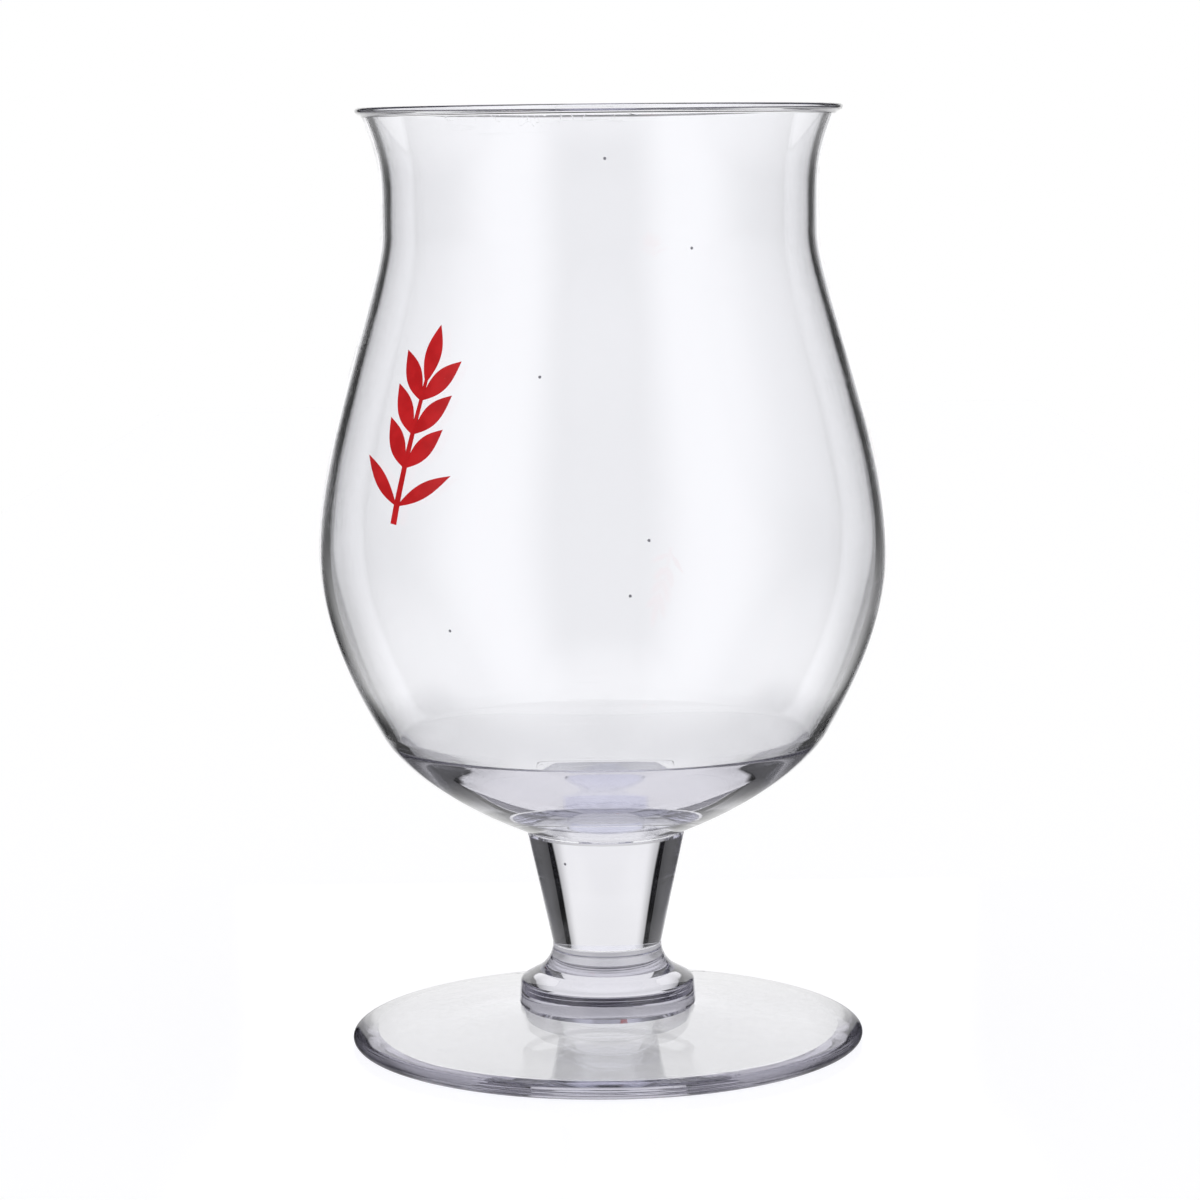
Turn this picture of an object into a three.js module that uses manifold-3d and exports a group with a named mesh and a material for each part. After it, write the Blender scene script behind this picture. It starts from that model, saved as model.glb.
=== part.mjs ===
// Stemmed tulip beer glass in clear plastic: foot, stem and bowl bonded in one stack, with a red print.
// Millimetres, +Z up. The origin is the centre of the flat face that the foot stands on.
import * as THREE from 'three';
import { mergeVertices } from 'three/addons/utils/BufferGeometryUtils.js';
import Module from 'manifold-3d';

// Foot: a shallow cone, hollow underneath, with a round edge and a collar.
// Heights are above the standing face.
const FOOT_R = 42.95;
const FOOT_EDGE_Z = 1.1;
const FOOT_EDGE_PULL = 0.9;
const FOOT_REST_R = 41.3;
const FOOT_TOP_R = 39.4;
const FOOT_TOP_Z = 2.9;
const FOOT_TOP_PULL = 1.9;
const FOOT_CONE_Z = 6.4;
const HOLLOW_R = 38.4;
const HOLLOW_Z = 3.4;
const HOLLOW_FLAT_R = 14;
const COLLAR_FOOT_R = 14.85;
const COLLAR_TOP_R = 14.6;
const COLLAR_WALL_Z = 9.9;
const COLLAR_WALL_PULL = 0.8;
const SHOULDER_R = 11.4;
const SHOULDER_Z = 12.1;
const SHOULDER_ANGLE = 38;
const SHOULDER_PULL = 1.1;
const WAIST_R = 9.15;
const WAIST_Z = 16.4;
const WAIST_PULL = 2.2;

// Stem: a solid taper with a spigot on top.
const STEM_LENGTH = 18.75;
const STEM_TOP_R = 13.15;
const STEM_CORNER = 0.3;
const SPIGOT_R = 4.2;
const SPIGOT_LENGTH = 4.5;

// Adhesive: film thickness in both joints, how far each film stops short of its joint's edge, and the play
// left on either side of the film round the spigot.
const BOND_T = 0.3;
const BOND_INSET = 0.5;
const BOND_PLAY = 0.05;

// Bowl: stations of the outer wall, as radius and height above the bowl's base, with the pull of each curve.
// The lip's height is above the mouth.
const BASE_R = 13;
const BASE_ANGLE = 21.35;
const BASE_PULL = 8.9;
const KNEE_R = 37.58;
const KNEE_H = 17.45;
const KNEE_ANGLE = 61;
const KNEE_PULL_DOWN = 8.8;
const KNEE_PULL_UP = 5.45;
const BELLY_R = 47.15;
const BELLY_H = 47.9;
const BELLY_PULL_DOWN = 13.7;
const BELLY_PULL_UP = 16.6;
const NECK_R = 36.15;
const NECK_H = 99.5;
const NECK_PULL_DOWN = 7.6;
const NECK_PULL_UP = 10.1;
const MOUTH_R = 38.8;
const MOUTH_H = 118.65;
const MOUTH_ANGLE = 69;
const MOUTH_PULL = 8.6;
const LIP_R = 40;
const LIP_H = 1.6;
const LIP_ROUND = 0.5;
const LIP_PULL = 0.6;

// Bowl: wall, the heel inside where it turns into the dished floor, the floor, and the shallow disc left in the
// floor by the mould's core. The heel's height is above the bowl's base.
const WALL_T = 1.8;
const HEEL_R = 34.78;
const HEEL_H = 16.45;
const HEEL_ANGLE = 53.5;
const HEEL_PULL_UP = 0.7;
const HEEL_PULL_DOWN = 1.5;
const FLOOR_T = 9.45;
const FLOOR_PULL = 10;
const CORE_DISC_R = 11.7;
const CORE_DISC_T = 0.2;

// Print: a barley ear, drawn flat about its own centre and laid on the outer wall.
// The angle is from the front, positive to +X, and the height is above the bowl's base.
// The stalk's foot hangs below the centre. Grains and leaves rise from it, and it laps into the tip grain.
const PRINT_ANGLE = -42.6;
const PRINT_H = 70;
const PRINT_TILT = 7;
const PRINT_GAP = 0.1;
const PRINT_T = 0.2;
const PRINT_REACH = 16;
const GRAIN_LENGTH = 9.2;
const GRAIN_WIDTH = 3.3;
const GRAIN_ANGLE = 40;
const GRAIN_PITCH = 5.3;
const GRAIN_PAIRS = 3;
const GRAIN_RISE = 8.8;
const LEAF_LENGTH = 11.5;
const LEAF_WIDTH = 2.4;
const LEAF_ANGLE = 56;
const LEAF_RISE = 2.8;
const STALK_DROP = 15;
const STALK_WIDTH = 1.3;
const STALK_TIP_WIDTH = 0.65;
const STALK_LAP = 0.95;

// Facets round the axis, and along a long curve, a curve, a corner and a printed outline.
const SEGMENTS = 60;
const LONG_CURVE_STEPS = 12;
const CURVE_STEPS = 6;
const CORNER_STEPS = 3;
const OUTLINE_STEPS = 5;
const WELD = 1e-5;

// Headings in the profile plane, in degrees above the outward radius.
const OUT = 0;
const UP = 90;
const IN = 180;

const CLEAR = { color: 0xe9ebf2, roughness: 0.05, opacity: 0.3 };
const FILM = { color: 0xdcdfe8, roughness: 0.2, opacity: 0.4 };
const INK = { color: 0xbe1018, roughness: 0.35, opacity: 1 };

// Levels of the stack.
const STEM_Z = WAIST_Z + BOND_T;
const STEM_TOP_Z = STEM_Z + STEM_LENGTH;
const SPIGOT_TOP_Z = STEM_TOP_Z + SPIGOT_LENGTH;
const BOWL_Z = STEM_TOP_Z + BOND_T;
const SOCKET_R = SPIGOT_R + BOND_T;
const SOCKET_TOP_Z = SPIGOT_TOP_Z + BOND_T;
const FLOOR_Z = BOWL_Z + FLOOR_T;
const RIM_Z = BOWL_Z + MOUTH_H + LIP_H;

const wasm = await Module();
wasm.setup();

const point = (r, z) => new THREE.Vector2(r, z);
const rad = THREE.MathUtils.degToRad;

// Point reached from a start by going a distance along a heading.
const reach = (start, angle, distance) =>
  point(start.x + distance * Math.cos(rad(angle)), start.y + distance * Math.sin(rad(angle)));

// Curve that leaves one station along its heading and arrives at the next along that one's heading.
const sweep = (from, fromAngle, fromPull, to, toAngle, toPull) =>
  new THREE.CubicBezierCurve(from, reach(from, fromAngle, fromPull), reach(to, toAngle, -toPull), to);

// Points of a quarter round about a centre, turning left from one heading to the other.
const corner = (centre, width, height, from, to) =>
  new THREE.EllipseCurve(centre.x, centre.y, width, height, rad(from), rad(to)).getPoints(CORNER_STEPS);

// Solid of revolution about Z from a profile that starts and ends on the axis or closes on itself.
const turn = (profile) => new THREE.LatheGeometry(profile, SEGMENTS).rotateX(Math.PI / 2);

const node = (name, geometry, finish) => {
  const transparent = finish.opacity < 1;
  const material = new THREE.MeshStandardMaterial({ ...finish, metalness: 0, transparent });
  const mesh = new THREE.Mesh(geometry, material);
  mesh.name = name;
  return mesh;
};

const toManifold = (geometry) => {
  const bare = geometry.clone();
  bare.deleteAttribute('normal');
  bare.deleteAttribute('uv');
  const merged = mergeVertices(bare, WELD);
  const vertProperties = Float32Array.from(merged.attributes.position.array);
  const triVerts = Uint32Array.from(merged.index.array);
  return new wasm.Manifold(new wasm.Mesh({ numProp: 3, vertProperties, triVerts }));
};

const toGeometry = (solid) => {
  const mesh = solid.getMesh();
  const geometry = new THREE.BufferGeometry();
  geometry.setAttribute('position', new THREE.BufferAttribute(Float32Array.from(mesh.vertProperties), 3));
  geometry.setIndex(new THREE.BufferAttribute(Uint32Array.from(mesh.triVerts), 1));
  geometry.computeVertexNormals();
  return geometry;
};

// Foot, from the roof of the hollow out under the edge, then in over the cone and up to the waist.
const footEdge = point(FOOT_R, FOOT_EDGE_Z);
const footTop = point(FOOT_TOP_R, FOOT_TOP_Z);
const coneTop = point(COLLAR_FOOT_R, FOOT_CONE_Z);
const coneAngle = THREE.MathUtils.radToDeg(coneTop.clone().sub(footTop).angle());
const collarWall = point(COLLAR_TOP_R, COLLAR_WALL_Z);
const shoulder = point(SHOULDER_R, SHOULDER_Z);
const waist = point(WAIST_R, WAIST_Z);
const shoulderSlope = IN - SHOULDER_ANGLE;
const footProfile = [
  point(0, HOLLOW_Z),
  point(HOLLOW_FLAT_R, HOLLOW_Z),
  point(HOLLOW_R, 0),
  ...corner(point(FOOT_REST_R, FOOT_EDGE_Z), FOOT_R - FOOT_REST_R, FOOT_EDGE_Z, -UP, OUT),
  ...sweep(footEdge, UP, FOOT_EDGE_PULL, footTop, coneAngle, FOOT_TOP_PULL).getPoints(CURVE_STEPS).slice(1),
  coneTop,
  ...sweep(collarWall, UP, COLLAR_WALL_PULL, shoulder, shoulderSlope, SHOULDER_PULL).getPoints(CURVE_STEPS),
  ...sweep(shoulder, shoulderSlope, SHOULDER_PULL, waist, UP, WAIST_PULL).getPoints(CURVE_STEPS).slice(1),
  point(0, WAIST_Z),
];

const footBondProfile = [
  point(0, WAIST_Z),
  point(WAIST_R - BOND_INSET, WAIST_Z),
  point(WAIST_R - BOND_INSET, STEM_Z),
  point(0, STEM_Z),
];

const stemProfile = [
  point(0, STEM_Z),
  point(WAIST_R, STEM_Z),
  point(STEM_TOP_R, STEM_TOP_Z - STEM_CORNER),
  point(STEM_TOP_R - STEM_CORNER, STEM_TOP_Z),
  point(SPIGOT_R, STEM_TOP_Z),
  point(SPIGOT_R, SPIGOT_TOP_Z),
  point(0, SPIGOT_TOP_Z),
];

// Film on the stem's shoulder, up beside the spigot and over its top.
const bowlBondProfile = [
  point(0, SPIGOT_TOP_Z),
  point(SPIGOT_R + BOND_PLAY, SPIGOT_TOP_Z),
  point(SPIGOT_R + BOND_PLAY, STEM_TOP_Z),
  point(BASE_R - BOND_INSET, STEM_TOP_Z),
  point(BASE_R - BOND_INSET, BOWL_Z),
  point(SOCKET_R - BOND_PLAY, BOWL_Z),
  point(SOCKET_R - BOND_PLAY, SOCKET_TOP_Z),
  point(0, SOCKET_TOP_Z),
];

// Outer wall of the bowl from the base up, as four curves through its stations.
const base = point(BASE_R, BOWL_Z);
const knee = point(KNEE_R, BOWL_Z + KNEE_H);
const belly = point(BELLY_R, BOWL_Z + BELLY_H);
const neck = point(NECK_R, BOWL_Z + NECK_H);
const mouth = point(MOUTH_R, BOWL_Z + MOUTH_H);
const under = sweep(base, BASE_ANGLE, BASE_PULL, knee, KNEE_ANGLE, KNEE_PULL_DOWN);
const wallCurves = [
  sweep(knee, KNEE_ANGLE, KNEE_PULL_UP, belly, UP, BELLY_PULL_DOWN),
  sweep(belly, UP, BELLY_PULL_UP, neck, UP, NECK_PULL_DOWN),
  sweep(neck, UP, NECK_PULL_UP, mouth, MOUTH_ANGLE, MOUTH_PULL),
];

// Points on the wall from the knee to the mouth, set off outwards by a distance along the wall's own normal.
const wallPoints = (offset) => wallCurves.flatMap((curve, index) => {
  const points = [];
  for (let step = index === 0 ? 0 : 1; step <= CURVE_STEPS; step += 1) {
    const at = step / CURVE_STEPS;
    const along = curve.getTangent(at);
    points.push(curve.getPoint(at).add(point(along.y, -along.x).multiplyScalar(offset)));
  }
  return points;
});

const inside = wallPoints(-WALL_T).reverse();
const insideMouth = inside[0];
const insideKnee = inside[inside.length - 1];
const lipUnder = sweep(mouth, MOUTH_ANGLE, LIP_PULL, point(LIP_R, RIM_Z - LIP_ROUND), UP, LIP_PULL);
const heel = point(HEEL_R, BOWL_Z + HEEL_H);
const heelCurve = sweep(insideKnee, KNEE_ANGLE - IN, HEEL_PULL_UP, heel, HEEL_ANGLE - IN, HEEL_PULL_UP);
const discEdge = point(CORE_DISC_R, FLOOR_Z);
const floorCurve = sweep(heel, HEEL_ANGLE - IN, HEEL_PULL_DOWN, discEdge, IN, FLOOR_PULL);
const bowlProfile = [
  point(0, SOCKET_TOP_Z),
  point(SOCKET_R, SOCKET_TOP_Z),
  point(SOCKET_R, BOWL_Z),
  ...under.getPoints(LONG_CURVE_STEPS),
  ...wallPoints(0).slice(1),
  ...lipUnder.getPoints(CORNER_STEPS).slice(1),
  ...corner(point(LIP_R - LIP_ROUND, RIM_Z - LIP_ROUND), LIP_ROUND, LIP_ROUND, OUT, UP).slice(1),
  ...corner(point(insideMouth.x + LIP_ROUND, RIM_Z - LIP_ROUND), LIP_ROUND, LIP_ROUND, UP, IN),
  ...inside,
  ...heelCurve.getPoints(CORNER_STEPS).slice(1),
  ...floorCurve.getPoints(LONG_CURVE_STEPS).slice(1),
  point(CORE_DISC_R, FLOOR_Z - CORE_DISC_T),
  point(0, FLOOR_Z - CORE_DISC_T),
];

// Pointed oval that grows from the origin along +Y.
const blade = (length, width) => {
  const outline = new THREE.Shape();
  outline.moveTo(0, 0);
  outline.quadraticCurveTo(width, length / 2, 0, length);
  outline.quadraticCurveTo(-width, length / 2, 0, 0);
  return outline;
};

// Tapered strip that grows from the origin along +Y.
const stalk = (length) => {
  const outline = new THREE.Shape();
  outline.moveTo(-STALK_WIDTH / 2, 0);
  outline.lineTo(STALK_WIDTH / 2, 0);
  outline.lineTo(STALK_TIP_WIDTH / 2, length);
  outline.lineTo(-STALK_TIP_WIDTH / 2, length);
  return outline;
};

// Block of one outline, leaning by an angle and rooted on the centre line at a rise above the stalk's foot.
const block = (outline, lean, rise) => {
  const slab = { depth: PRINT_REACH, bevelEnabled: false, curveSegments: OUTLINE_STEPS };
  const solid = new THREE.ExtrudeGeometry(outline, slab).rotateZ(rad(lean));
  return toManifold(solid.translate(0, rise - STALK_DROP, 0));
};

// Barley ear: stalk, paired grains, a grain on the tip and two leaves, joined in one block.
const tipRise = GRAIN_RISE + GRAIN_PAIRS * GRAIN_PITCH - GRAIN_PITCH / 2;
let ear = block(stalk(tipRise + STALK_LAP), 0, 0).add(block(blade(GRAIN_LENGTH, GRAIN_WIDTH), 0, tipRise));
for (const side of [-1, 1]) {
  ear = ear.add(block(blade(LEAF_LENGTH, LEAF_WIDTH), side * LEAF_ANGLE, LEAF_RISE));
  for (let pair = 0; pair < GRAIN_PAIRS; pair += 1) {
    const rise = GRAIN_RISE + pair * GRAIN_PITCH;
    ear = ear.add(block(blade(GRAIN_LENGTH, GRAIN_WIDTH), side * GRAIN_ANGLE, rise));
  }
}

// The ear faces the front, tilts, stands off the axis and turns round to its place on the wall.
const place = new THREE.Matrix4().makeRotationZ(rad(PRINT_ANGLE))
  .multiply(new THREE.Matrix4().makeTranslation(0, -(BELLY_R - PRINT_REACH), BOWL_Z + PRINT_H))
  .multiply(new THREE.Matrix4().makeRotationX(rad(UP)))
  .multiply(new THREE.Matrix4().makeRotationZ(rad(-PRINT_TILT)));
const earBlock = toManifold(toGeometry(ear).applyMatrix4(place));

// Ink film: a sleeve round the wall, cut by the ear.
const filmInside = wallPoints(PRINT_GAP).reverse();
const filmOutside = wallPoints(PRINT_GAP + PRINT_T);
const sleeve = toManifold(turn([...filmInside, ...filmOutside, filmInside[0]]));
const ink = sleeve.intersect(earBlock);

const glass = new THREE.Group();
glass.name = 'beer_glass';
glass.add(
  node('bowl', turn(bowlProfile), CLEAR),
  node('bowl_bond', turn(bowlBondProfile), FILM),
  node('stem', turn(stemProfile), CLEAR),
  node('foot_bond', turn(footBondProfile), FILM),
  node('foot', turn(footProfile), CLEAR),
  node('bowl_print', toGeometry(ink), INK),
);

export default glass;
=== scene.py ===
"""Looks of a clear stemmed beer glass with a red printed barley ear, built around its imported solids."""
import functools
import math

import bpy
from bpy.props import FloatProperty, FloatVectorProperty, IntProperty, PointerProperty
from mathutils import Euler, Matrix, Vector
from mathutils.geometry import delaunay_2d_cdt


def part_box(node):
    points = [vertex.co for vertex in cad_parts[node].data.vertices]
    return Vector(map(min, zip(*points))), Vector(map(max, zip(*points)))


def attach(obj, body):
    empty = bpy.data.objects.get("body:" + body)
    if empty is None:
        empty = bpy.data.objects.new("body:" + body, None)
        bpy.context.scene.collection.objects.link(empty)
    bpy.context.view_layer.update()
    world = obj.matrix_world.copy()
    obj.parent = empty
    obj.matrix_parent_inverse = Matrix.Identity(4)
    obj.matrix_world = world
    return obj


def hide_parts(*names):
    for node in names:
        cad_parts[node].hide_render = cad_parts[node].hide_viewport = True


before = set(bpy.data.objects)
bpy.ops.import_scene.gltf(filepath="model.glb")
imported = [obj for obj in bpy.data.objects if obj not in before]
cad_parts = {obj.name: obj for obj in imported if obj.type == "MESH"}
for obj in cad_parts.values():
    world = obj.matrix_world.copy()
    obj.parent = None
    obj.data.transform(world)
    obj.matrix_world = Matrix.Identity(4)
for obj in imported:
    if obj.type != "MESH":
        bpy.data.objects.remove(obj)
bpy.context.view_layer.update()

bl_info = {
    "name": "Beer glass",
    "version": (1, 0, 0),
    "blender": (4, 5, 0),
    "location": "View3D > Sidebar > Beer glass",
    "description": "Builds a clear stemmed beer glass around its packed solids",
    "category": "Object",
}

MM = 0.001
WHITE = 1, 1, 1, 1
BLACK = 0, 0, 0, 1
BODY = "root"

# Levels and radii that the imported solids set.
FOOT_R, WAIST_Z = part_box("foot")[1].x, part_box("foot")[1].z
STEM_Z, SPIGOT_TOP_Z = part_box("stem")[0].z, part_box("stem")[1].z
STEM_TOP_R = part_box("stem")[1].x
STEM_TOP_Z, SOCKET_TOP_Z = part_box("bowl_bond")[0].z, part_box("bowl_bond")[1].z
BOWL_Z, RIM_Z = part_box("bowl")[0].z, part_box("bowl")[1].z
BELLY_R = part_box("bowl")[1].x
BOWL_BOND_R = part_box("bowl_bond")[1].x
FOOT_BOND_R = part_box("foot_bond")[1].x

# Headings in the profile plane, above the outward radius.
OUT, UP, IN = 0, math.pi / 2, math.pi

# Facets round the axis, along a curve and round a small corner.
SEGMENTS = 240
CURVE_STEPS = 36
CORNER_STEPS = 16

# Edges of the print that turn by more than this stay sharp.
SHARP_ANGLE = math.radians(30)

# Each film stays this far inside its joint, so that no two faces lie in one plane.
FILM_CLEAR = 0.02 * MM

# Points of a section that are closer than this are one point.
ONE_POINT = 0.002 * MM

# Barley ear: steps along a blade, pitch of the triangles, and reach within which points join.
BLADE_STEPS = 24
EAR_PITCH = 0.6 * MM
EAR_JOIN = 0.001 * MM

# Height of the relief in each bump.
SCRATCH_RELIEF = 0.02 * MM
RIPPLE_RELIEF = 0.5 * MM
FLOW_RELIEF = 0.1 * MM
GRAIN_RELIEF = 0.03 * MM

# Stretch of each moulding's ripples along the axes.
FOOT_RIPPLE = 1, 1, 0.3
STEM_RIPPLE = 1, 1, 0.6
BOWL_RIPPLE = 0.6, 0.6, 0.6

# Mark on the faces of a moulding that the adhesive wets.
WETTED = "wetted"

# Larger specks on the bowl and on the stem: turn from the front in degrees, and height in millimetres.
BOWL_SPECKS = (1.4, 147.6), (23.2, 133.6), (-13.3, 114.2), (8.7, 89.3), (5, 80.8), (-31.3, 74.7)
STEM_SPECKS = ((-33.4, 31.7),)

# Width of the camera's sensor in millimetres, and how often light may bounce or pass a clear layer.
SENSOR = 36
BOUNCES = 128
CLEAR_LAYERS = 64

# Step that is all but sharp.
SHARP_STEP = 0.001

# The pairs from here on are ramps: 0 at the first number and beyond it, 1 at the second and beyond it.
# Speck: distance from its centre, in millimetres.
SPECK_EDGE = 0.3, 0.2

# Wear, flow marks and ink: values of a pattern that runs from 0 to 1.
HAIRLINE = 0.006, 0.0
WORN_PATCH = 0.5, 0.68
DUST_GRAIN = 0.05, 0.03
SMEAR_PATCH = 0.52, 0.75
SMEAR_FINE = 0.3, 0.8
FLOW_MARK = 0.4, 0.7
FLOW_DULL = 0.45, 0.8
INK_FULL = 0.35, 0.65
INK_GLOSS = 0.3, 0.7

# Studio that the glass sees: angles from the camera's direction, and heights on a sphere of radius 1.
SIDES_ARC = math.radians(152), math.radians(126)
CEILING_RISE = 0.6, 0.9
BELOW_RISE = 0.05, -0.6
BELOW_ARC = math.radians(30), math.radians(80)
STEEP_RISE = -0.45, -0.8
BACK_ARC = math.radians(168), math.radians(145)

# Table that the glass sees, in millimetres: the painted lit strip, and the middle that is there at all.
STRIP_ASIDE = 54, 32
STRIP_FRONT = -54, -40
STRIP_BACK = 42, 60
MIDDLE_ASIDE = 125, 95
MIDDLE_FRONT = -100, -68

# Card that the glass sees, in millimetres: its low part, the wings of that part, and its foot.
CARD_LOW = 75, 40
CARD_WINGS = 50, 80
CARD_FOOT = 45, 20


def length(name, description, default):
    """Length property with its default in millimetres."""
    settings = {"unit": "LENGTH", "precision": 5}
    return FloatProperty(name=name, description=description, default=default * MM, **settings)


def handles(name, stretch, start, end):
    """Reach of the two handles of a curve, with its defaults in millimetres."""
    settings = {"default": (start * MM, end * MM), "size": 2, "unit": "LENGTH", "precision": 5}
    return FloatVectorProperty(name=name, description="Reach of the handles " + stretch, **settings)


def degrees(name, description, default):
    """Angle property with its default in degrees."""
    return FloatProperty(name=name, description=description, default=math.radians(default), subtype="ANGLE")


def share(name, description, default):
    """Property from 0 to 1."""
    settings = {"min": 0, "max": 1, "subtype": "FACTOR"}
    return FloatProperty(name=name, description=description, default=default, **settings)


def number(name, description, default):
    """Number without a unit."""
    return FloatProperty(name=name, description=description, default=default)


def colour(name, description, default):
    """Linear colour property."""
    settings = {"min": 0, "max": 1, "subtype": "COLOR"}
    return FloatVectorProperty(name=name, description=description, default=default, **settings)


class FootSizes(bpy.types.PropertyGroup):
    """Cone, hollow and collar of the foot. Heights are above the floor."""

    edge_height: length("Edge height", "Height of the widest line of the edge", 1.1)
    rest_radius: length("Rest radius", "Outer radius of the ring that it stands on", 41.3)
    top_radius: length("Top radius", "Where the round edge meets the cone", 39.4)
    top_height: length("Top height", "Height of the cone at its outer end", 2.9)
    cone_height: length("Cone height", "Height of the cone at the collar", 6.4)
    hollow_radius: length("Hollow radius", "Outer radius of the hollow underneath", 38.4)
    hollow_height: length("Hollow height", "Height of the hollow's flat roof", 3.4)
    hollow_flat: length("Hollow flat", "Radius of the hollow's flat roof", 14)
    collar_foot: length("Collar foot", "Radius of the collar on the cone", 14.85)
    collar_top: length("Collar top", "Radius of the collar at the top of its wall", 14.6)
    collar_height: length("Collar height", "Height of the top of the collar's wall", 9.9)
    shoulder_radius: length("Shoulder radius", "Radius of the collar's shoulder", 11.4)
    shoulder_height: length("Shoulder height", "Height of the collar's shoulder", 12.1)
    shoulder_slope: degrees("Shoulder slope", "Slope of the collar's shoulder", 38)
    waist_radius: length("Waist radius", "Radius of the joint with the stem", 9.15)
    edge_curve: handles("Edge curve", "from the edge to the cone", 0.9, 1.9)
    collar_curve: handles("Collar curve", "from the collar's wall to its shoulder", 0.8, 1.1)
    waist_curve: handles("Waist curve", "from the collar's shoulder to the waist", 1.1, 2.2)


class StemSizes(bpy.types.PropertyGroup):
    """Corner and spigot of the stem."""

    corner: length("Corner", "Bevel of the stem's top corner", 0.3)
    spigot_radius: length("Spigot radius", "Radius of the spigot in the bowl's socket", 4.2)
    film: length("Film", "Thickness of the adhesive round the spigot", 0.3)


class BowlSizes(bpy.types.PropertyGroup):
    """Stations of the bowl's wall and the curves between them. Heights are above the bowl's base."""

    base_radius: length("Base radius", "Radius of the joint with the stem", 13)
    base_slope: degrees("Base slope", "Slope of the underside at the joint", 21.35)
    knee_radius: length("Knee radius", "Radius where the underside turns into the wall", 37.58)
    knee_height: length("Knee height", "Height of the knee", 17.45)
    knee_slope: degrees("Knee slope", "Slope of the wall at the knee", 61)
    belly_height: length("Belly height", "Height of the widest line", 47.9)
    neck_radius: length("Neck radius", "Radius of the narrowest line above the belly", 36.15)
    neck_height: length("Neck height", "Height of the neck", 99.5)
    mouth_radius: length("Mouth radius", "Radius where the lip starts", 38.8)
    mouth_height: length("Mouth height", "Height where the lip starts", 118.65)
    mouth_slope: degrees("Mouth slope", "Slope of the wall where the lip starts", 69)
    lip_radius: length("Lip radius", "Radius of the lip", 40)
    lip_round: length("Lip round", "Radius of the lip's edges", 0.5)
    wall: length("Wall", "Thickness of the wall", 1.8)
    heel_radius: length("Heel radius", "Radius inside where the wall turns into the dished floor", 34.78)
    heel_height: length("Heel height", "Height of the heel", 16.45)
    heel_slope: degrees("Heel slope", "Slope of the inside at the heel", 53.5)
    floor: length("Floor", "Height of the floor inside", 9.45)
    disc_radius: length("Disc radius", "Radius of the shallow disc in the floor", 11.7)
    disc_depth: length("Disc depth", "Depth of the shallow disc in the floor", 0.2)
    base_curve: handles("Base curve", "from the base to the knee", 8.9, 8.8)
    knee_curve: handles("Knee curve", "from the knee to the belly", 5.45, 13.7)
    belly_curve: handles("Belly curve", "from the belly to the neck", 16.6, 7.6)
    neck_curve: handles("Neck curve", "from the neck to the mouth", 10.1, 8.6)
    mouth_curve: handles("Mouth curve", "from the mouth to the lip", 0.6, 0.6)
    heel_curve: handles("Heel curve", "from the inside of the knee to the heel", 0.7, 0.7)
    dish_curve: handles("Dish curve", "from the heel to the disc", 1.5, 10)


class PrintSizes(bpy.types.PropertyGroup):
    """Barley ear printed on the wall."""

    angle: degrees("Angle", "Turn round the bowl from the front, positive to the right", -42.6)
    height: length("Height", "Height of the ear's centre above the bowl's base", 70)
    tilt: degrees("Tilt", "Lean of the ear to the right", 7)
    ink: length("Ink", "Thickness of the ink", 0.12)
    gap: length("Gap", "Clearance between the ink and the wall", 0.02)
    grain_length: length("Grain length", "Length of a grain", 9.2)
    grain_width: length("Grain width", "Width of a grain", 3.3)
    grain_angle: degrees("Grain angle", "Lean of a grain from the stalk", 40)
    grain_pitch: length("Grain pitch", "Distance between pairs of grains", 5.3)
    grain_rise: length("Grain rise", "First pair of grains above the stalk's foot", 8.8)
    grain_pairs: IntProperty(name="Grain pairs", description="Pairs of grains on the stalk", default=3)
    leaf_length: length("Leaf length", "Length of a leaf", 11.5)
    leaf_width: length("Leaf width", "Width of a leaf", 2.4)
    leaf_angle: degrees("Leaf angle", "Lean of a leaf from the stalk", 56)
    leaf_rise: length("Leaf rise", "Leaves above the stalk's foot", 2.8)
    stalk_drop: length("Stalk drop", "Stalk's foot below the ear's centre", 15)
    stalk_width: length("Stalk width", "Width of the stalk's foot", 1.3)
    stalk_tip: length("Stalk tip", "Width of the stalk's tip", 0.65)
    stalk_lap: length("Stalk lap", "How far the stalk runs into the tip grain", 0.95)


class Finishes(bpy.types.PropertyGroup):
    """Colours and wear of the plastic, the adhesive and the ink."""

    tint: colour("Tint", "Tint that light takes on at each surface", (0.98, 0.982, 1.0))
    depth: colour("Depth", "Colour that thick places take on", (0.42, 0.4, 0.52))
    foot_density: number("Foot density", "How fast the foot takes on its deep colour, per metre", 15)
    stem_density: number("Stem density", "How fast the stem takes on its deep colour, per metre", 9)
    bowl_density: number("Bowl density", "How fast the bowl takes on its deep colour, per metre", 8)
    bend: number("Bend", "Refractive index of the plastic", 1.58)
    film_bend: number("Film bend", "Refractive index of the adhesive against the plastic", 1.035)
    smear: share("Smear", "Largest roughness of a finger smear", 0.05)
    scratch: share("Scratch", "Depth of hairline scratches", 0.12)
    ripple: share("Ripple", "Depth of moulding ripples", 0.05)
    speck: colour("Speck", "Colour of dust specks", (0.04, 0.04, 0.05))
    speck_rough: share("Speck rough", "Roughness of dust specks", 0.4)
    flow: colour("Flow", "Colour of the adhesive's flow marks", (0.94, 0.94, 0.96))
    flow_rough: share("Flow rough", "Largest roughness of the adhesive", 0.06)
    red: colour("Red", "Colour of the ink", (0.64, 0.006, 0.01))
    ink_rough: share("Ink rough", "Least roughness of the ink", 0.1)
    ink_vary: share("Ink vary", "Most roughness that the ink's density adds", 0.12)
    uneven: share("Uneven", "Brightness of the ink's darker patches", 0.84)
    pinhole: colour("Pinhole", "Colour of the ink's pinholes", (0.634, 0.254, 0.256))
    coat: share("Coat", "Most gloss over the ink", 0.25)


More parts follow.
